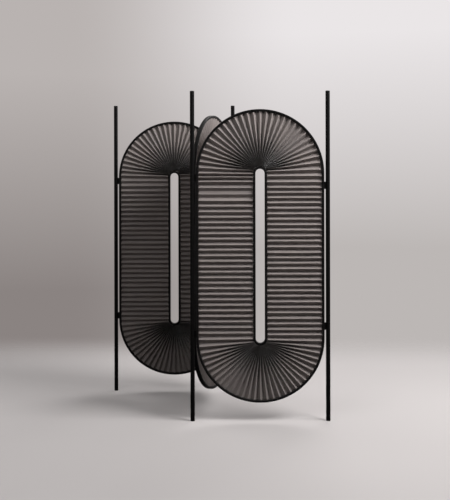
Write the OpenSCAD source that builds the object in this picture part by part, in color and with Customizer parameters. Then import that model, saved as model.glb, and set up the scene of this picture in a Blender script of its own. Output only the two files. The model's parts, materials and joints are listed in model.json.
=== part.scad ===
// Folding screen: three upright loop panels of pleated cloth between four round posts.
// Real size in millimetres, +Z up. The middle panel's centre line stands on the origin.

/* [Screen] */
// Height of the posts
post_h = 1800; // [1700:10:2100]
// Angle between neighbouring panels as the screen stands
fold_angle = 72; // [70:1:110]
// Height of the frames above the floor
floor_gap = 100; // [60:5:140]

/* [Panel] */
// Width of a panel over its frame
panel_w = 700; // [600:10:760]
// Height of a panel over its frame
panel_h = 1600; // [1560:10:1640]
// Clear width of the slot down the middle
slot_w = 50; // [40:1:90]

/* [Frame bar] */
// Width of the bar, across the panel
bar_w = 12; // [11:0.5:16]
// Depth of the bar, front to back
bar_d = 22; // [21:0.5:24]
// Radius of the bar's long edges
bar_edge_r = 3; // [2.5:0.5:3.5]

/* [Pleated cloth] */
// Pleats down each straight side
side_pleats = 30; // [28:1:36]
// Pleats round each end
end_pleats = 30; // [28:1:36]
// Length of a pleat's face from one crease to the next
pleat_face = 25; // [24:0.5:26]
// How much lower the folds lie on the right side than on the left
right_drop = 11.7; // [0:0.1:12]
// Thickness of the cloth, measured front to back
cloth_t = 2; // [1:0.1:2]
// Thickness of the bands that hold the ends of the folds
band_t = 1.5; // [1:0.1:2]

/* [Posts] */
// Outer diameter of a post
post_d = 24; // [22:0.5:26]
// Wall of the sleeves round the core tube
sleeve_wall = 2; // [1.5:0.1:2.5]
// Wall of the core tube
core_wall = 2; // [1.5:0.1:2.5]
// Gap between a post and the frames beside it
post_gap = 8; // [7.5:0.5:10]
// Thickness of the foot glides
glide_t = 5; // [3:0.5:10]
// Thickness of the top caps
cap_t = 4; // [3:0.5:10]

/* [Hinges] */
// Height of one knuckle
knuckle_h = 40; // [32:1:44]
// Height of a hinge's middle above and below the panel's middle
hinge_rise = 404.5; // [396:0.5:406]
// Room for a washer between knuckles
washer_t = 1; // [0.8:0.1:2]
// Thickness of a leaf between its knuckle and its flange
leaf_t = 8; // [7:0.5:10]
// Thickness of a leaf's flange on the frame
flange_t = 3; // [2:0.5:4]
// Width of a leaf's flange, front to back
flange_w = 12; // [11:0.5:13]

/* [Fixings] */
// Diameter of the screws that hold the leaves
screw_d = 5; // [4:0.5:5]
// Distance between a leaf's two screws
screw_spacing = 24; // [20:1:24]
// Length of each screw in its leaf
screw_grip = 7; // [5:0.5:7]
// Diameter of the rods that carry the slot frame
rod_d = 4; // [3:0.5:5]
// Depth of the rods' sockets in both frames
rod_socket = 4; // [3:0.5:5]
// Pleats from one rod to the next
rod_every = 9; // [6:1:12]
// Diameter of the grub screws
grub_d = 4; // [3:0.5:5]

/* [Hidden] */
PANELS = ["front", "middle", "back"];
SIDES = ["left", "right"];
POSTS = ["right_end", "front_hinge", "back_hinge", "left_end"];
PANEL_NODES = ["frame", "slot_frame", "pleated_cloth", "frame_band", "slot_band", "spreader_rods",
    "left_leaves", "right_leaves", "leaf_screws", "hinge_washers", "grub_screws"];
POST_NODES = ["core_tube", "bottom_sleeve", "middle_sleeve", "top_sleeve", "top_cap", "foot_glide"];

// Finishes
coat_black = "#1a1918";
cloth_brown = "#6b625e";
band_brown = "#2a2624";
polymer_black = "#121212";
zinc_grey = "#4a4a4a";

// Clearances
running_fit = 0.05;
washer_play = 0.1;
seat_gap = 0.3;
screw_clearance = 0.25;
overrun = 1;
$fn = 96;

// Small sizes
head_d = 8.5;
head_h = 5;
head_recess = 0.5;
socket_d = 4;
socket_depth = 2.5;
washer_inset = 0.5;
spigot_h = 16;
chamfer = 1;
grub_inset = 30;
grub_recess = 0.2;
least_fold_share = 0.3;
drop_taper = 20;

// Panel
panel_r = panel_w / 2;
straight = panel_h - panel_w;
mid_z = floor_gap + panel_h / 2;
slot_r = slot_w / 2;
band_d = bar_d - 2 * bar_edge_r;
cloth_r_in = slot_r + bar_w + band_t + seat_gap;
cloth_r_out = panel_r - bar_w - band_t - seat_gap;

// Pleats: a station is one crease, and the creases lie in turn at the front and at the back
side_stations = 2 * side_pleats;
end_stations = 2 * end_pleats;
half_stations = side_stations + end_stations;
stations = 2 * half_stations;
side_step = straight / side_stations;
rod_rise = 2 * rod_every * side_step;
first_fold = side_pleats % 2 == 0 ? 1 : -1;

// Posts and hinges
core_d = post_d - 2 * sleeve_wall - 2 * running_fit;
core_bore = core_d - 2 * core_wall;
knuckle_bore = post_d - 2 * sleeve_wall;
frame_offset = post_d / 2 + post_gap;
post_pitch = panel_w + 2 * frame_offset;
knuckle_step = knuckle_h + washer_t;
inner_rise = hinge_rise - knuckle_step / 2;
outer_rise = hinge_rise + knuckle_step / 2;

// Each row of POST_RISES holds the knuckles that a post carries, and POST_FIXED the one locked to it
POST_RISES = [[inner_rise], [inner_rise, outer_rise], [inner_rise, outer_rise], [outer_rise]];
POST_FIXED = [inner_rise, outer_rise, outer_rise, outer_rise];
POST_PANEL = [0, 0, 1, 2];
PANEL_POSTS = [[0, 1], [2], [3]];

// Plan of the screen, seen from above
hinge_at = post_pitch / 2 * [cos(fold_angle), sin(fold_angle)];
POST_AT = [[post_pitch, 0] - hinge_at, -hinge_at, hinge_at, hinge_at - [post_pitch, 0]];
PANEL_AT = [[post_pitch / 2, 0] - hinge_at, [0, 0], hinge_at - [post_pitch / 2, 0]];
PANEL_TURN = [0, fold_angle, 0];

// Height of a panel's knuckles on one side, 0 for left and 1 for right
function leaf_rise(panel, side) = (panel == 1) == (side == 0) ? inner_rise : outer_rise;

// A leaf at the inner height turns freely on its neighbour's post, but the front panel's right one is locked
function leaf_is_fixed(panel, side) = leaf_rise(panel, side) == outer_rise || (panel == 0 && side == 1);

function washer_rises(post) = [
    for (rise = [hinge_rise - knuckle_step, hinge_rise, hinge_rise + knuckle_step])
        if (len([for (held = POST_RISES[post]) if (abs(abs(held - rise) - knuckle_step / 2) < running_fit) held]) > 0)
            rise
];
function hinge_low(post) = washer_rises(post)[0] - washer_t / 2;
function hinge_high(post) = washer_rises(post)[len(washer_rises(post)) - 1] + washer_t / 2;
function grub_rises(post) = [hinge_high(post) + grub_inset, hinge_low(post) - grub_inset, POST_FIXED[post]];

// Share of the right side's drop that a crease takes: all of it there, and less and less round the ends
function drop_share(k) =
    let (off = abs((k + stations / 2 - side_pleats) % stations - stations / 2))
    off < side_pleats ? 1 : off > side_pleats + drop_taper ? 0 : pow(cos((off - side_pleats) * 90 / drop_taper), 2);
function dropped(k) = (k + stations - right_drop / side_step * drop_share(k)) % stations;

// Crease lines of the cloth: where each starts, which way it runs and how deep the fold is there
function crease_turn(k) = k < side_stations ? 0 : (k - side_stations) * 180 / end_stations;
function crease_start(k) = [0, k < side_stations ? k * side_step - straight / 2 : straight / 2];
function half_pitch(k, r) = k <= side_stations ? side_step : 2 * r * sin(90 / end_stations);
function fold_depth(half) = sqrt(max(pleat_face ^ 2 - half ^ 2, (pleat_face * least_fold_share) ^ 2));
function crease_point(k, r, face) =
    let (
        place = dropped(k),
        j = place % half_stations,
        flip = place < half_stations ? 1 : -1,
        turn = crease_turn(j),
        plan = flip * (crease_start(j) + r * [cos(turn), sin(turn)]),
        fold = (k % 2 == 0 ? first_fold : -first_fold) * fold_depth(half_pitch(j, r)) / 2
    )
    [plan.x, plan.y, fold + face * cloth_t / 2];

// Two triangles between creases a and b, split from the inner end of one crease to the outer end of the other
function split_quad(a, b, edge, next, from_b) = from_b
    ? [[a + edge, b + edge, a + next], [b + edge, b + next, a + next]]
    : [[a + edge, b + edge, b + next], [a + edge, b + next, a + next]];

// Stands a shape drawn flat, face up, so that its face looks to the front
module stand_up() {
    rotate([90, 0, 0]) children();
}

// Puts a shape drawn round the middle of a panel, or of a post, in its place
module at_panel(panel) {
    translate([PANEL_AT[panel].x, PANEL_AT[panel].y, mid_z]) rotate([0, 0, PANEL_TURN[panel]]) children();
}

module at_post(post) {
    translate([POST_AT[post].x, POST_AT[post].y, mid_z]) rotate([0, 0, PANEL_TURN[POST_PANEL[post]]]) children();
}

// Sweeps a flat section round a loop of two half circles and two straight sides
module swept_loop(centre_r) {
    for (turn = [0, 180]) rotate([0, 0, turn]) {
        translate([0, straight / 2, 0]) rotate_extrude(angle = 180) translate([centre_r, 0]) children();
        translate([centre_r, -straight / 2, 0]) rotate([-90, 0, 0]) linear_extrude(straight) children();
    }
}

module bar_section() {
    square([bar_w - 2 * bar_edge_r, bar_d], center = true);
    square([bar_w, bar_d - 2 * bar_edge_r], center = true);
    for (x = [-1, 1]) for (y = [-1, 1])
        translate([x * (bar_w / 2 - bar_edge_r), y * (bar_d / 2 - bar_edge_r)]) circle(r = bar_edge_r);
}

// Front face of the cloth's fold in which a rod lies, and the rod's place behind it
fold_slope = atan(side_step / fold_depth(side_step));
rod_y = -(fold_depth(side_step) / 2 - cloth_t / 2 - (rod_d / 2 + seat_gap) / sin(fold_slope));

// One copy of a rod-shaped cylinder, from one distance off the middle line to another
module at_rods(from_r, to_r, d) {
    for (side = [-1, 1]) for (rise = [-rod_rise, 0, rod_rise])
        translate([side * from_r, rod_y, side == 1 ? rise - right_drop : rise])
            rotate([0, side * 90, 0]) cylinder(d = d, h = to_r - from_r);
}

// Places of a panel's leaf screws, with +X pointing from the frame's inner face to the post
module at_leaf_screws(panel) {
    for (side = [0, 1]) for (end = [-1, 1]) for (row = [-1, 1])
        translate([(2 * side - 1) * (panel_r - bar_w), 0, end * leaf_rise(panel, side) + row * screw_spacing / 2])
            rotate([0, 0, side == 1 ? 0 : 180]) children();
}

module frame(panel) {
    color(coat_black) difference() {
        stand_up() swept_loop(panel_r - bar_w / 2) bar_section();
        at_rods(panel_r - bar_w - overrun, panel_r - bar_w + rod_socket, rod_d + 2 * running_fit);
        at_leaf_screws(panel) {
            translate([-overrun, 0, 0]) rotate([0, 90, 0]) {
                cylinder(d = screw_d + 2 * screw_clearance, h = bar_w + 2 * overrun);
                cylinder(d = head_d + 2 * screw_clearance, h = overrun + head_recess + head_h);
            }
        }
    }
}

module slot_frame() {
    color(coat_black) difference() {
        stand_up() swept_loop(slot_r + bar_w / 2) bar_section();
        at_rods(slot_r + bar_w - rod_socket, slot_r + bar_w + overrun, rod_d + 2 * running_fit);
    }
}

module pleated_cloth() {
    points = [
        for (k = [0 : stations - 1]) for (corner = [[cloth_r_in, 1], [cloth_r_out, 1], [cloth_r_out, -1], [cloth_r_in, -1]])
            crease_point(k, corner[0], corner[1])
    ];
    faces = [
        for (k = [0 : stations - 1]) let (a = 4 * k, b = 4 * ((k + 1) % stations)) for (edge = [0 : 3])
            each split_quad(a, b, edge, (edge + 1) % 4, (k + floor(edge / 2)) % 2 == 1)
    ];
    color(cloth_brown) stand_up() polyhedron(points = points, faces = faces);
}

module frame_band() {
    color(band_brown) difference() {
        stand_up() swept_loop(panel_r - bar_w - band_t / 2) square([band_t, band_d], center = true);
        at_rods(panel_r - bar_w - band_t - overrun, panel_r - bar_w + overrun, rod_d + 2 * seat_gap);
    }
}

module slot_band() {
    color(band_brown) difference() {
        stand_up() swept_loop(slot_r + bar_w + band_t / 2) square([band_t, band_d], center = true);
        at_rods(slot_r + bar_w - overrun, slot_r + bar_w + band_t + overrun, rod_d + 2 * seat_gap);
    }
}

module spreader_rods() {
    color(coat_black)
        at_rods(slot_r + bar_w - rod_socket + seat_gap, panel_r - bar_w + rod_socket - seat_gap, rod_d);
}

// A leaf with its knuckle round the post's middle line and its flange towards +X
module leaf(is_fixed) {
    difference() {
        union() {
            cylinder(d = post_d, h = knuckle_h, center = true);
            translate([0, -leaf_t / 2, -knuckle_h / 2]) cube([frame_offset - flange_t / 2, leaf_t, knuckle_h]);
            translate([frame_offset - flange_t, -flange_w / 2, -knuckle_h / 2]) cube([flange_t, flange_w, knuckle_h]);
        }
        cylinder(d = knuckle_bore, h = knuckle_h + 2 * overrun, center = true);
        for (row = [-1, 1]) translate([frame_offset - screw_grip, 0, row * screw_spacing / 2]) rotate([0, 90, 0])
            cylinder(d = screw_d + 2 * running_fit, h = screw_grip + overrun);
        if (is_fixed) rotate([-90, 0, 0]) cylinder(d = grub_d + 2 * running_fit, h = post_d);
    }
}

module leaves(panel, side) {
    color(coat_black) for (end = [-1, 1])
        translate([(2 * side - 1) * post_pitch / 2, 0, end * leaf_rise(panel, side)])
            mirror([side, 0, 0]) leaf(leaf_is_fixed(panel, side));
}

module leaf_screws(panel) {
    color(zinc_grey) at_leaf_screws(panel) rotate([0, 90, 0]) difference() {
        translate([0, 0, head_recess]) union() {
            cylinder(d = head_d, h = head_h);
            cylinder(d = screw_d, h = bar_w - head_recess + screw_grip - seat_gap);
        }
        cylinder(d = socket_d, h = head_recess + socket_depth, $fn = 6);
    }
}

module washers(post) {
    for (end = [-1, 1]) for (rise = washer_rises(post)) translate([0, 0, end * rise]) difference() {
        cylinder(d = post_d - 2 * washer_inset, h = washer_t - washer_play, center = true);
        cylinder(d = knuckle_bore, h = washer_t + 2 * overrun, center = true);
    }
}

// Cylinders through the wall of a post, towards the back of the panel that owns it
module at_grubs(post, from_r, to_r, d) {
    for (end = [-1, 1]) for (rise = grub_rises(post))
        translate([0, from_r, end * rise]) rotate([-90, 0, 0]) cylinder(d = d, h = to_r - from_r);
}

module tube(d, bore, low, high) {
    difference() {
        translate([0, 0, low]) cylinder(d = d, h = high - low);
        translate([0, 0, low - overrun]) cylinder(d = bore, h = high - low + 2 * overrun);
    }
}

module core_tube(post) {
    color(coat_black) difference() {
        tube(core_d, core_bore, glide_t - mid_z, post_h - cap_t - mid_z);
        at_grubs(post, 0, core_d, grub_d + 2 * running_fit);
    }
}

module sleeve(post, low, high) {
    color(coat_black) difference() {
        tube(post_d, knuckle_bore, low, high);
        at_grubs(post, 0, post_d, grub_d + 2 * running_fit);
    }
}

module grub_screws(panel) {
    color(zinc_grey) for (post = PANEL_POSTS[panel]) at_post(post)
        at_grubs(post, core_bore / 2, post_d / 2 - grub_recess, grub_d);
}

// A disc with a spigot in the core tube, and its outer edge chamfered
module post_plug(disc_t) {
    rotate_extrude() polygon([
        [0, 0],
        [post_d / 2 - chamfer, 0],
        [post_d / 2, chamfer],
        [post_d / 2, disc_t],
        [core_bore / 2 - running_fit, disc_t],
        [core_bore / 2 - running_fit, disc_t + spigot_h],
        [0, disc_t + spigot_h]
    ]);
}

module foot_glide() {
    color(polymer_black) translate([0, 0, -mid_z]) post_plug(glide_t);
}

module top_cap() {
    color(polymer_black) translate([0, 0, post_h - mid_z]) rotate([180, 0, 0]) post_plug(cap_t);
}

// One piece of a panel, and one piece of a post, by the name it has in the lists above
module panel_piece(panel, name) {
    if (name == "frame") at_panel(panel) frame(panel);
    if (name == "slot_frame") at_panel(panel) slot_frame();
    if (name == "pleated_cloth") at_panel(panel) pleated_cloth();
    if (name == "frame_band") at_panel(panel) frame_band();
    if (name == "slot_band") at_panel(panel) slot_band();
    if (name == "spreader_rods") at_panel(panel) spreader_rods();
    if (name == "left_leaves") at_panel(panel) leaves(panel, 0);
    if (name == "right_leaves") at_panel(panel) leaves(panel, 1);
    if (name == "leaf_screws") at_panel(panel) leaf_screws(panel);
    if (name == "hinge_washers") color(polymer_black) for (post = PANEL_POSTS[panel]) at_post(post) washers(post);
    if (name == "grub_screws") grub_screws(panel);
}

module post_piece(post, name) {
    if (name == "core_tube") at_post(post) core_tube(post);
    if (name == "bottom_sleeve") at_post(post) sleeve(post, glide_t - mid_z, -hinge_high(post));
    if (name == "middle_sleeve") at_post(post) sleeve(post, -hinge_low(post), hinge_low(post));
    if (name == "top_sleeve") at_post(post) sleeve(post, hinge_high(post), post_h - cap_t - mid_z);
    if (name == "top_cap") at_post(post) top_cap();
    if (name == "foot_glide") at_post(post) foot_glide();
}

for (panel = [0 : len(PANELS) - 1]) for (name = PANEL_NODES)
    panel_piece(panel, name);
for (post = [0 : len(POSTS) - 1]) for (name = POST_NODES)
    post_piece(post, name);
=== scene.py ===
import json
import math
import random

import bmesh
import bpy
from mathutils import Matrix, Vector


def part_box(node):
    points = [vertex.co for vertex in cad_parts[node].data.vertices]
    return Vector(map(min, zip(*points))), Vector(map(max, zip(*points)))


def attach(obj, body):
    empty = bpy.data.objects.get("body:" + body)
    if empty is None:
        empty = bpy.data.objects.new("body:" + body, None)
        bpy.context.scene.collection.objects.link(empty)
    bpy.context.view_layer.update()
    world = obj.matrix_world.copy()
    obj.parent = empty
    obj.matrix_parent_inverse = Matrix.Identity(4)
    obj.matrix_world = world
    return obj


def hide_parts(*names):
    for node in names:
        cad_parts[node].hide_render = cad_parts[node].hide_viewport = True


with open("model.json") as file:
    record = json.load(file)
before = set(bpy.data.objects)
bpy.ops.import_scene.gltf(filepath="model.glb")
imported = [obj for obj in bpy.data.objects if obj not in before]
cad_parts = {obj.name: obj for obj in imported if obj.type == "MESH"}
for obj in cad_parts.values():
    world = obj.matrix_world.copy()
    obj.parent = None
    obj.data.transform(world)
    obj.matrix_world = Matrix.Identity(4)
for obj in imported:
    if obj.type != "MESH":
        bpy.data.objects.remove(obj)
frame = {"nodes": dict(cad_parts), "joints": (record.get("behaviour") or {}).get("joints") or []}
nodes = frame["nodes"]
joints = {joint["name"]: joint for joint in frame["joints"]}
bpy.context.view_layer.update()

MM = 0.001
PANELS = ("front", "middle", "back")

# The photograph's frame, and where its camera stood
PHOTO_HEIGHT = 500
HORIZON_ROW = 198.5
FOCAL_ROWS = 804
SENSOR = 36
CAMERA_AT = Vector((0.0645, -4.739, 1.213))
CAMERA_ROLL = math.radians(-0.12)

# Pleats: a station is one crease, counted up the right side, round the top, down the left and back
SIDE_STATIONS = 60
END_STATIONS = 60
HALF_STATIONS = SIDE_STATIONS + END_STATIONS
STATIONS = 2 * HALF_STATIONS
PLEAT_FACE = 25 * MM
CLOTH_THICKNESS = 0.5 * MM
CREASE_SHARES = (0, 0.25, 0.5, 0.75, 1)
FACE_SHARES = (1 / 3, 2 / 3)
ROWS = 16
LEAST_DEPTH = PLEAT_FACE / 3
SAME_POINT = 0.001 * MM
BAND_GAP = 0.3 * MM

# Beside the slot a fan takes in its neighbours: over this length the creases turn from parallel to radial
FAN_SOFTNESS = 15 * MM
FAN_SHARE = 0.078

# How far the folds wander from their places: shares of a station, of the pitch and of a fold's depth
CREASE_SWAY = 0.035
CREASE_BOW = 0.025
DEPTH_SWAY = 0.02
CREASE_ROUND = 1.6 * MM
END_ROUND = 3.2 * MM
END_LENGTH = 14 * MM
END_SLACK_SHARE = 0.1
FINEST_ROUND_SHARE = 0.2
FINENESS_RISE = 5 / 3

# The sewn joint of the cloth crowds the folds above it and leaves one fold slack
SEAM_REACH = 6.5
SEAM_PUSH = 0.93
SLACK_FOLD_OFFSET = 3
SLACK_FOLD_REACH = 1.2
SLACK_FOLD_SHARE = 0.75
SEAMS = {"front": (124.5, 1.0), "middle": (129, 0.7), "back": (120, 0.6)}

# Powder coat: the sizes of its peel and of its cloudy patches in millimetres, and how much its gloss varies
PEEL_SIZE = 1.4
COAT_PATCH = 70
GLOSS_SPREAD = 0.06

# The cloth's look: sizes in millimetres, and how much painted highlight lightens the creases and painted shade
# darkens the tight folds.
# Real threads are about 0.4 mm apart, and are drawn wider so that they show at all
CLOTH_FLAT_MM = (6000, 301, 1)
THREADS_APART = 1.6
WAVE_REPEAT = 0.314
SLUB_SIZE = (2.2, 90)
DYE_PATCH = 160
CREASE_HIGHLIGHT_PAINT = 0.3
PAINTED_SHADE_RANGE = (0.2, 0.75)
PAINTED_SHADE_MOST = 0.78

# The studio: the floor as the camera sees it and as it throws light back, and the even light from all round
FLOOR_SEEN = "#bdb8b7"
FLOOR_BOUNCE = "#6b6867"
FLOOR_FILL = 0.2
WORLD_LIGHT = 0.015
LIGHTS_AIM = Vector((0, 0, 0.9))

# Half the floor's width, and where it starts and ends to fade: the axis, the middle, the near and the far edge
FLOOR_REACH = 4
FLOOR_EDGES = (("X", 0, 1.9, 3.2), ("Y", -0.45, 1.5, 2.85))

# The backdrop, by the direction of sight: where the right side takes over, and then for the left and the right
# side the heights it rises between and its colours below and above, and its colour at the foot
RIGHT_FROM, RIGHT_TO = -0.19, 0.1
BACKDROP = (((-0.11, 0.15), ("#8a8381", "#b9b3b1")), ((-0.06, 0.2), ("#bcb7b5", "#eae6e7")))
FOOT_FROM, FOOT_TO = -0.2, -0.5
FOOT_COLOURS = ("#b3aeac", "#d1cecc")

# The softboxes: bearing from the viewer's side and height in degrees, distance and size in metres, and watts
SOFTBOXES = (("key_softbox", 60, 42, 3.4, 1.7, 132),
             ("back_softbox", 150, 50, 4.6, 2.2, 115),
             ("side_softbox", -120, 50, 4.6, 1.8, 40),
             ("fill_softbox", -30, 40, 4.2, 2.2, 32))

# Heights of the rods behind the cloth, in stations from the middle, and how near them the folds lie true
ROD_STATIONS = (-18, 0, 18)
ROD_REACH = 1.5

# The folds lie lower on the right side, and come back into step round the ends, over so many stations
RIGHT_DROP = 11.7 * MM
DROP_TAPER = 20

# The front cloth's folds as they drift out of step between the rods, in stations, each at its station
FRONT_DRIFT = ((0, 0), (50, 0), (57, -0.48), (64, 0.15), (72, -0.2), (80, 0), (92, 0), (100, 0.27), (108, 0.41),
               (116, 0.3), (124, 0), (176, 0), (184, 0.75), (192, 0.5), (204, 0), (216, 0), (224, -0.29), (232, 0),
               (240, 0))


def linear(hex_colour):
    """An sRGB hex colour as linear RGBA."""
    shares = [int(hex_colour[i:i + 2], 16) / 255 for i in (1, 3, 5)]
    return [s / 12.92 if s <= 0.04045 else ((s + 0.055) / 1.055) ** 2.4 for s in shares] + [1]


def add(tree, kind, inputs=None, **settings):
    """Adds a node with its settings; each input is a plain value or another node's output."""
    node = tree.nodes.new(kind)
    for name, value in settings.items():
        setattr(node, name, value)
    for name, value in (inputs or {}).items():
        if isinstance(value, bpy.types.NodeSocket):
            tree.links.new(value, node.inputs[name])
        else:
            node.inputs[name].default_value = value
    return node


def new_material(name):
    material = bpy.data.materials.new(name)
    material.use_nodes = True
    material.node_tree.nodes.clear()
    return material, material.node_tree


def finish_material(tree, shader):
    add(tree, "ShaderNodeOutputMaterial", {"Surface": shader.outputs[0]})


def per_metre(size_mm):
    """The scale of a pattern whose repeat is this many millimetres, on coordinates in metres."""
    return 1000 / size_mm


def powder_coat(name, colour, roughness, gloss):
    """Polyester powder, baked on metal: satin, with a fine orange peel that breaks up the highlights."""
    material, tree = new_material(name)
    place = add(tree, "ShaderNodeTexCoord").outputs["Object"]
    peel = add(tree, "ShaderNodeTexNoise", {"Vector": place, "Scale": per_metre(PEEL_SIZE), "Detail": 2})
    cloud = add(tree, "ShaderNodeTexNoise", {"Vector": place, "Scale": per_metre(COAT_PATCH), "Detail": 3})
    sheen_range = add(tree, "ShaderNodeMapRange", {
        "Value": cloud.outputs["Fac"], "From Min": 0.3, "From Max": 0.7, "To Min": roughness - GLOSS_SPREAD,
        "To Max": roughness + GLOSS_SPREAD})
    shade = add(tree, "ShaderNodeMix", {0: cloud.outputs["Fac"], 6: linear(colour[0]), 7: linear(colour[1])},
                data_type="RGBA")
    bump = add(tree, "ShaderNodeBump", {"Height": peel.outputs["Fac"], "Strength": 0.25, "Distance": 0.08 * MM})
    finish_material(tree, add(tree, "ShaderNodeBsdfPrincipled", {
        "Base Color": shade.outputs[2], "Roughness": sheen_range.outputs[0], "Normal": bump.outputs[0], "IOR": 1.5,
        "Specular IOR Level": gloss}))
    return material


def pleated_polyester():
    """Woven polyester, heat-set in knife pleats: matt, slubbed across, a little polished on the creases, with a
    painted highlight on the creases and painted shade on the tight folds.
    """
    material, tree = new_material("woven_polyester_heat_set_in_pleats")
    lay = add(tree, "ShaderNodeUVMap", uv_map="cloth")
    flat_mm = add(tree, "ShaderNodeMapping", {"Vector": lay.outputs[0], "Scale": CLOTH_FLAT_MM})
    threads = [add(tree, "ShaderNodeTexWave", {
        "Vector": flat_mm.outputs[0], "Scale": WAVE_REPEAT / THREADS_APART, "Distortion": 0.6},
        bands_direction=way, wave_profile="SIN") for way in ("X", "Y")]
    weave = add(tree, "ShaderNodeMath", {0: threads[0].outputs["Fac"], 1: threads[1].outputs["Fac"]},
                operation="MULTIPLY")
    # Slubs are thick places in the threads that run across the cloth
    slub_lay = add(tree, "ShaderNodeMapping", {
        "Vector": flat_mm.outputs[0], "Scale": (1 / SLUB_SIZE[0], 1 / SLUB_SIZE[1], 1)})
    slubs = add(tree, "ShaderNodeTexNoise", {"Vector": slub_lay.outputs[0], "Scale": 1, "Detail": 3})
    dye_lay = add(tree, "ShaderNodeMapping", {
        "Vector": flat_mm.outputs[0], "Scale": (1 / DYE_PATCH, 1 / DYE_PATCH, 1)})
    dye = add(tree, "ShaderNodeTexNoise", {"Vector": dye_lay.outputs[0], "Scale": 1, "Detail": 2})
    tone = add(tree, "ShaderNodeMix", {0: slubs.outputs["Fac"], 6: linear("#7d7573"), 7: linear("#9f9693")},
               data_type="RGBA")
    cast = add(tree, "ShaderNodeMix", {0: dye.outputs["Fac"], 6: linear("#827b7b"), 7: linear("#9d928c")},
               data_type="RGBA")
    ground = add(tree, "ShaderNodeMix", {0: 0.5, 6: tone.outputs[2], 7: cast.outputs[2]}, data_type="RGBA")
    # Painted highlight: the creases' colour is lightened towards a paler grey; their lower roughness further down is
    # the real polish of pressing
    crease = add(tree, "ShaderNodeAttribute", attribute_name="crease")
    painted_crease_highlight = add(tree, "ShaderNodeMath", {0: crease.outputs["Fac"], 1: CREASE_HIGHLIGHT_PAINT}, operation="MULTIPLY")
    colour = add(tree, "ShaderNodeMix", {0: painted_crease_highlight.outputs[0], 6: ground.outputs[2], 7: linear("#c2b8b4")},
                 data_type="RGBA")
    # Painted shade: towards the slot the folds press together, and the cloth there is darkened to stand in for the
    # shade between them
    tightness_for_painted_shade = add(tree, "ShaderNodeAttribute", attribute_name="tightness_for_painted_shade")
    painted_shade = add(tree, "ShaderNodeMapRange", {
        "Value": tightness_for_painted_shade.outputs["Fac"], "From Min": PAINTED_SHADE_RANGE[0], "From Max": PAINTED_SHADE_RANGE[1], "To Min": 0,
        "To Max": PAINTED_SHADE_MOST}, interpolation_type="SMOOTHSTEP")
    shown = add(tree, "ShaderNodeMix", {0: painted_shade.outputs[0], 6: colour.outputs[2], 7: linear("#262321")},
                data_type="RGBA")
    rough = add(tree, "ShaderNodeMapRange", {"Value": crease.outputs["Fac"], "To Min": 0.88, "To Max": 0.68})
    relief = add(tree, "ShaderNodeMath", {0: weave.outputs[0], 1: slubs.outputs["Fac"]}, operation="ADD")
    bump = add(tree, "ShaderNodeBump", {"Height": relief.outputs[0], "Strength": 0.35, "Distance": 0.2 * MM})
    finish_material(tree, add(tree, "ShaderNodeBsdfPrincipled", {
        "Base Color": shown.outputs[2], "Roughness": rough.outputs[0], "Normal": bump.outputs[0],
        "Sheen Weight": 0.15, "Sheen Roughness": 0.5, "Specular IOR Level": 0.25}))
    return material


def woven_tape():
    """Stiff polyester tape, woven in fine ribs: dull and dark, with a slight grain."""
    material, tree = new_material("polyester_tape_woven_in_ribs")
    place = add(tree, "ShaderNodeTexCoord").outputs["Object"]
    ribs = add(tree, "ShaderNodeTexVoronoi", {"Vector": place, "Scale": per_metre(1.8)})
    fibres = add(tree, "ShaderNodeTexNoise", {"Vector": place, "Scale": per_metre(12), "Detail": 4})
    shade = add(tree, "ShaderNodeMix", {0: fibres.outputs["Fac"], 6: linear("#211d1c"), 7: linear("#35302e")},
                data_type="RGBA")
    bump = add(tree, "ShaderNodeBump", {"Height": ribs.outputs["Distance"], "Strength": 0.4, "Distance": 0.3 * MM})
    finish_material(tree, add(tree, "ShaderNodeBsdfPrincipled", {
        "Base Color": shade.outputs[2], "Roughness": 0.9, "Normal": bump.outputs[0]}))
    return material


def black_zinc():
    """Steel screws, zinc plated and passivated black: dark metal with a slightly cloudy shine."""
    material, tree = new_material("steel_plated_in_black_zinc")
    place = add(tree, "ShaderNodeTexCoord").outputs["Object"]
    cloud = add(tree, "ShaderNodeTexNoise", {"Vector": place, "Scale": per_metre(3), "Detail": 3})
    rough = add(tree, "ShaderNodeMapRange", {"Value": cloud.outputs["Fac"], "To Min": 0.28, "To Max": 0.5})
    shade = add(tree, "ShaderNodeMix", {0: cloud.outputs["Fac"], 6: linear("#2a2a2c"), 7: linear("#434345")},
                data_type="RGBA")
    finish_material(tree, add(tree, "ShaderNodeBsdfPrincipled", {
        "Base Color": shade.outputs[2], "Roughness": rough.outputs[0], "Metallic": 0.9}))
    return material


def moulded_nylon():
    """Glass-filled nylon, moulded against a spark-eroded tool: black with a fine even grain."""
    material, tree = new_material("nylon_moulded_with_a_spark_grain")
    place = add(tree, "ShaderNodeTexCoord").outputs["Object"]
    grain = add(tree, "ShaderNodeTexNoise", {"Vector": place, "Scale": per_metre(0.6), "Detail": 2})
    flow = add(tree, "ShaderNodeTexNoise", {"Vector": place, "Scale": per_metre(9), "Detail": 2})
    shade = add(tree, "ShaderNodeMix", {0: flow.outputs["Fac"], 6: linear("#0a0a0a"), 7: linear("#131212")},
                data_type="RGBA")
    bump = add(tree, "ShaderNodeBump", {"Height": grain.outputs["Fac"], "Strength": 0.3, "Distance": 0.1 * MM})
    finish_material(tree, add(tree, "ShaderNodeBsdfPrincipled", {
        "Base Color": shade.outputs[2], "Roughness": 0.55, "Normal": bump.outputs[0], "IOR": 1.53,
        "Specular IOR Level": 0.2}))
    return material


def loop_point(arc, radius, straight):
    """The point a distance along a loop that starts at the foot of its right side."""
    half, along = divmod(arc, straight + math.pi * radius)
    if along <= straight:
        point = Vector((radius, along - straight / 2))
    else:
        turn = (along - straight) / radius
        point = Vector((radius * math.cos(turn), straight / 2 + radius * math.sin(turn)))
    return -point if half % 2 else point


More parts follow.
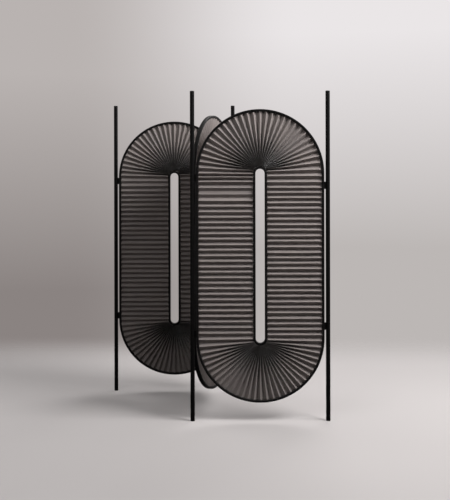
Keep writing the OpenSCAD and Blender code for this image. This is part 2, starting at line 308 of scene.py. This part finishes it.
def inner_arc(past, sizes):
    """How far past a fan's start a crease meets the slot, from how far past it the same crease meets the frame."""
    quarters = [radius * math.pi / 2 for radius in (sizes["inner"], sizes["outer"])]
    start = (quarters[0] - FAN_SHARE * quarters[1]) / (1 - FAN_SHARE)
    softened = FAN_SOFTNESS * math.log(1 + math.exp((past - start) / FAN_SOFTNESS))
    return FAN_SHARE * past + (1 - FAN_SHARE) * (past - softened)


def crease_ends(station, sizes):
    """Where the crease at a station starts at the slot and ends at the frame, in the panel's plane."""
    straight = sizes["straight"]
    fans = {name: math.pi * sizes[name] for name in ("inner", "outer")}
    half, along = divmod(station % STATIONS, HALF_STATIONS)
    if along <= SIDE_STATIONS:
        outer = along / SIDE_STATIONS * straight
    else:
        outer = straight + (along - SIDE_STATIONS) / END_STATIONS * fans["outer"]
    if along < SIDE_STATIONS / 2:
        inner = -inner_arc(-outer, sizes)
    elif along < SIDE_STATIONS + END_STATIONS / 2:
        inner = straight + inner_arc(outer - straight, sizes)
    else:
        inner = straight + fans["inner"] - inner_arc(straight + fans["outer"] - outer, sizes)
    return [loop_point(arc + half * (straight + fans[name]), sizes[name], straight)
            for name, arc in (("inner", inner), ("outer", outer))]


def bump_share(distance, reach):
    """1 in the middle, falling smoothly to 0 at the reach."""
    return math.cos(min(abs(distance) / reach, 1) * math.pi / 2) ** 2


def over_a_rod(station):
    rise = station % HALF_STATIONS - SIDE_STATIONS / 2
    return any(abs(rise - rod) < ROD_REACH for rod in ROD_STATIONS)


def drop_share(station):
    """How much of the right side's drop a crease takes."""
    off = abs((station + STATIONS / 2 - SIDE_STATIONS / 2) % STATIONS - STATIONS / 2)
    return bump_share(max(off - SIDE_STATIONS / 2, 0), DROP_TAPER)


def drift_at(station, drift):
    """The drift at a station, read between the two entries beside it."""
    for (low, before), (high, after) in zip(drift, drift[1:]):
        if station <= high:
            return before + (after - before) * (station - low) / (high - low)
    return 0


def wander(seam, drift, rng, sizes):
    """Each crease with its ends, and how it strays: sideways, in a bow, in depth, and by the seam."""
    seam_at, strength = seam
    drop = RIGHT_DROP / sizes["straight"] * SIDE_STATIONS
    creases = []
    for station in range(STATIONS):
        still = 0 if over_a_rod(station) else 1
        sway = still * rng.gauss(0, CREASE_SWAY) - strength * SEAM_PUSH * bump_share(station - seam_at, SEAM_REACH)
        slack = bump_share(station - seam_at - SLACK_FOLD_OFFSET, SLACK_FOLD_REACH)
        step = drift_at(station, drift) - drop * drop_share(station)
        start, end = crease_ends(station + step + sway, sizes)
        creases.append({"start": start, "end": end, "bow": still * rng.gauss(0, CREASE_BOW),
                        "depth": (1 + still * rng.gauss(0, DEPTH_SWAY)) * (1 - strength * SLACK_FOLD_SHARE * slack)})
    return creases


def crease_row(across, sizes, creases):
    """The folds along one line round the loop, at a share of the cloth's width: each crease's point and its pitch."""
    plan = [crease["start"].lerp(crease["end"], across) for crease in creases]
    from_end = min(across, 1 - across) * (sizes["outer"] - sizes["inner"])
    slack = 1 - END_SLACK_SHARE * bump_share(from_end, END_LENGTH)
    row = []
    for station, crease in enumerate(creases):
        before, here, after = plan[station - 1], plan[station], plan[(station + 1) % STATIONS]
        pitch = ((here - before).length + (after - here).length) / 2
        here = here + (after - before) / 2 * crease["bow"] * math.sin(across * math.pi)
        depth = math.sqrt(max(PLEAT_FACE ** 2 - pitch ** 2, LEAST_DEPTH ** 2)) * crease["depth"] * slack
        side = 1 if station % 2 == 0 else -1
        fineness = min(max(pitch / PLEAT_FACE * FINENESS_RISE, FINEST_ROUND_SHARE), 1)
        row.append((Vector((here.x, -side * depth / 2, here.y)), fineness))
    return row, CREASE_ROUND + (END_ROUND - CREASE_ROUND) * bump_share(from_end, END_LENGTH)


def rounded_row(row, rounding):
    """The row's zigzag as points, with every crease turned in a small curve; each point also has its shares of
    crease and of tightness."""
    points = []
    for station, (here, fineness) in enumerate(row):
        before, (after, next_fineness) = row[station - 1][0], row[(station + 1) % len(row)]
        start = here + (before - here).normalized() * rounding * fineness
        end = here + (after - here).normalized() * rounding * fineness
        for share in CREASE_SHARES:
            point = start * (1 - share) ** 2 + here * 2 * share * (1 - share) + end * share ** 2
            points.append((point, (1 - abs(2 * share - 1)) * fineness, 1 - fineness))
        face_end = after + (here - after).normalized() * rounding * next_fineness
        points += [(end.lerp(face_end, share), 0, 1 - fineness) for share in FACE_SHARES]
    return points


def pleated_cloth(panel, sizes, place, seed):
    """One panel's cloth: a long strip in knife pleats, closed in a loop and fanned round both ends."""
    drift = FRONT_DRIFT if panel == "front" else ()
    creases = wander(SEAMS[panel], drift, random.Random(seed), sizes)
    rows = []
    for number in range(ROWS + 1):
        across = (1 - math.cos(number / ROWS * math.pi)) / 2
        rows.append(rounded_row(*crease_row(across, sizes, creases)))
    columns = len(rows[0])
    bm = bmesh.new()
    bm.loops.layers.uv.new("cloth")
    crease, tightness_for_painted_shade = (bm.verts.layers.float.new(name) for name in ("crease", "tightness_for_painted_shade"))
    bmesh.ops.create_grid(bm, x_segments=columns, y_segments=ROWS, size=0.5, calc_uvs=True)
    for vert in bm.verts:
        column = round((vert.co.x + 0.5) * columns)
        number = round((vert.co.y + 0.5) * ROWS)
        vert.co, vert[crease], vert[tightness_for_painted_shade] = rows[number][column % columns]
    bmesh.ops.remove_doubles(bm, verts=bm.verts, dist=SAME_POINT)
    bmesh.ops.recalc_face_normals(bm, faces=bm.faces)
    bmesh.ops.transform(bm, matrix=place, verts=bm.verts)
    for face in bm.faces:
        face.smooth = True
    mesh = bpy.data.meshes.new(f"{panel}_cloth_in_pleats")
    bm.to_mesh(mesh)
    bm.free()
    cloth = bpy.data.objects.new(mesh.name, mesh)
    bpy.context.scene.collection.objects.link(cloth)
    wall = cloth.modifiers.new("thickness", "SOLIDIFY")
    wall.thickness = CLOTH_THICKNESS
    wall.offset = 0
    return cloth


def panel_sizes():
    """The cloth's inner and outer distance from the middle line, and the straight run, from the front panel."""
    low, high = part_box("front_pleated_cloth")
    slot_low, slot_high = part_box("front_slot_band")
    outer = (high.x - low.x) / 2
    inner = (slot_high.x - slot_low.x) / 2 + BAND_GAP
    return {"outer": outer, "inner": inner, "straight": high.z - low.z - 2 * outer}


def panel_place(panel):
    """Moves a panel drawn round the origin, facing -Y, to where it stands."""
    low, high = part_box(f"{panel}_frame")
    start, end = (Vector(joints[name]["pos_m"]) for name in ("front_fold", "back_fold"))
    turn = math.atan2(end.y - start.y, end.x - start.x) if panel == "middle" else 0
    return Matrix.Translation((low + high) / 2) @ Matrix.Rotation(turn, 4, "Z")


def dress_nodes():
    """Gives each node that stays its finish."""
    frame_coat = powder_coat("powder_coat_on_rolled_aluminium", ("#090808", "#0f0e0e"), 0.5, 0.1)
    post_coat = powder_coat("powder_coat_on_steel_tube", ("#060606", "#0b0a0a"), 0.46, 0.08)
    rod_paint = powder_coat("matt_paint_on_steel_rod", ("#121010", "#1a1817"), 0.75, 0.2)
    tape, zinc, nylon = woven_tape(), black_zinc(), moulded_nylon()
    finishes = {"frame": frame_coat, "band": tape, "rods": rod_paint, "leaves": post_coat, "screws": zinc,
                "washers": nylon, "tube": post_coat, "sleeve": post_coat, "cap": nylon, "glide": nylon}
    for name, node in nodes.items():
        finish = finishes.get(name.split("_")[-1])
        if finish:
            node.data.materials.clear()
            node.data.materials.append(finish)


def hang_cloths():
    material, sizes = pleated_polyester(), panel_sizes()
    for seed, panel in enumerate(PANELS, start=5):
        cloth = pleated_cloth(panel, sizes, panel_place(panel), seed)
        cloth.data.materials.append(material)
        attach(cloth, f"{panel}_panel")
        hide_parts(f"{panel}_pleated_cloth")


def floor_paint():
    """Matt painted floor: pale round the screen, and lost in the backdrop beyond it."""
    material, tree = new_material("matt_painted_studio_floor")
    place = add(tree, "ShaderNodeSeparateXYZ", {0: add(tree, "ShaderNodeTexCoord").outputs["Object"]})
    edges = []
    for axis, middle, near, far in FLOOR_EDGES:
        off = add(tree, "ShaderNodeMath", {0: place.outputs[axis], 1: middle}, operation="SUBTRACT")
        away = add(tree, "ShaderNodeMath", {0: off.outputs[0]}, operation="ABSOLUTE")
        edges.append(add(tree, "ShaderNodeMapRange", {
            "Value": away.outputs[0], "From Min": near, "From Max": far, "To Min": 1, "To Max": 0},
            interpolation_type="SMOOTHSTEP"))
    there = add(tree, "ShaderNodeMath", {0: edges[0].outputs[0], 1: edges[1].outputs[0]}, operation="MULTIPLY")
    rays = add(tree, "ShaderNodeLightPath")
    colour = add(tree, "ShaderNodeMix", {
        0: rays.outputs["Is Camera Ray"], 6: linear(FLOOR_BOUNCE), 7: linear(FLOOR_SEEN)}, data_type="RGBA")
    paint = add(tree, "ShaderNodeBsdfDiffuse", {"Color": colour.outputs[2], "Roughness": 0.4})
    # The camera sees the shadows a little filled, as in a white room, and no other ray does
    filled = add(tree, "ShaderNodeMath", {0: rays.outputs["Is Camera Ray"], 1: FLOOR_FILL}, operation="MULTIPLY")
    fill = add(tree, "ShaderNodeEmission", {"Color": linear(FLOOR_SEEN), "Strength": filled.outputs[0]})
    lit = add(tree, "ShaderNodeAddShader", {0: paint.outputs[0], 1: fill.outputs[0]})
    nothing = add(tree, "ShaderNodeBsdfTransparent")
    finish_material(tree, add(tree, "ShaderNodeMixShader", {
        0: there.outputs[0], 1: nothing.outputs[0], 2: lit.outputs[0]}))
    return material


def make_floor():
    bm = bmesh.new()
    bmesh.ops.create_grid(bm, x_segments=1, y_segments=1, size=FLOOR_REACH)
    mesh = bpy.data.meshes.new("studio_floor")
    bm.to_mesh(mesh)
    bm.free()
    floor = bpy.data.objects.new(mesh.name, mesh)
    bpy.context.scene.collection.objects.link(floor)
    mesh.materials.append(floor_paint())


def make_world():
    """A pale backdrop, brighter above and to the right, and a weaker even light on the screen."""
    world = bpy.data.worlds.new("studio")
    bpy.context.scene.world = world
    world.use_nodes = True
    tree = world.node_tree
    tree.nodes.clear()
    way = add(tree, "ShaderNodeSeparateXYZ", {0: add(tree, "ShaderNodeTexCoord").outputs["Generated"]})
    right = add(tree, "ShaderNodeMapRange", {
        "Value": way.outputs["X"], "From Min": RIGHT_FROM, "From Max": RIGHT_TO}, interpolation_type="SMOOTHSTEP")
    sides = []
    for (start, end), (below, above) in BACKDROP:
        rise = add(tree, "ShaderNodeMapRange", {"Value": way.outputs["Z"], "From Min": start, "From Max": end})
        sides.append(add(tree, "ShaderNodeMix", {0: rise.outputs[0], 6: linear(below), 7: linear(above)},
                         data_type="RGBA"))
    wall = add(tree, "ShaderNodeMix", {0: right.outputs[0], 6: sides[0].outputs[2], 7: sides[1].outputs[2]},
               data_type="RGBA")
    foot = add(tree, "ShaderNodeMix", {0: right.outputs[0], 6: linear(FOOT_COLOURS[0]), 7: linear(FOOT_COLOURS[1])},
               data_type="RGBA")
    down = add(tree, "ShaderNodeMapRange", {
        "Value": way.outputs["Z"], "From Min": FOOT_FROM, "From Max": FOOT_TO}, interpolation_type="SMOOTHSTEP")
    seen = add(tree, "ShaderNodeMix", {0: down.outputs[0], 6: wall.outputs[2], 7: foot.outputs[2]}, data_type="RGBA")
    backdrop = add(tree, "ShaderNodeBackground", {"Color": seen.outputs[2], "Strength": 1})
    light = add(tree, "ShaderNodeBackground", {"Color": linear("#ffffff"), "Strength": WORLD_LIGHT})
    rays = add(tree, "ShaderNodeLightPath")
    sharp = add(tree, "ShaderNodeMath", {0: rays.outputs["Is Camera Ray"], 1: rays.outputs["Is Glossy Ray"]},
                operation="MAXIMUM")
    shown = add(tree, "ShaderNodeMath", {0: sharp.outputs[0], 1: rays.outputs["Is Transmission Ray"]},
                operation="MAXIMUM")
    mixed = add(tree, "ShaderNodeMixShader", {0: shown.outputs[0], 1: light.outputs[0], 2: backdrop.outputs[0]})
    add(tree, "ShaderNodeOutputWorld", {"Surface": mixed.outputs[0]})


def soft_light(name, bearing, height, distance, size, watts):
    """A square softbox that faces the screen; its bearing is from the viewer's side, in degrees as its height is."""
    lamp = bpy.data.lights.new(name, "AREA")
    lamp.size = size
    lamp.energy = watts
    turn, rise = math.radians(bearing), math.radians(height)
    way = Vector((math.cos(rise) * math.sin(turn), -math.cos(rise) * math.cos(turn), math.sin(rise)))
    holder = bpy.data.objects.new(name, lamp)
    holder.location = LIGHTS_AIM + way * distance
    holder.rotation_euler = way.to_track_quat("Z", "Y").to_euler()
    bpy.context.scene.collection.objects.link(holder)


def make_lights():
    for softbox in SOFTBOXES:
        soft_light(*softbox)


def make_camera():
    lens = bpy.data.cameras.new("camera")
    lens.sensor_width = SENSOR
    lens.lens = FOCAL_ROWS / PHOTO_HEIGHT * SENSOR
    lens.shift_y = (HORIZON_ROW - PHOTO_HEIGHT / 2) / PHOTO_HEIGHT
    camera = bpy.data.objects.new("camera", lens)
    camera.matrix_world = (Matrix.Translation(CAMERA_AT) @ Matrix.Rotation(math.pi / 2, 4, "X")
                           @ Matrix.Rotation(CAMERA_ROLL, 4, "Z"))
    bpy.context.scene.collection.objects.link(camera)
    bpy.context.scene.camera = camera


bpy.context.scene.view_settings.view_transform = "Standard"
make_camera()
dress_nodes()
hang_cloths()
make_floor()
make_world()
make_lights()
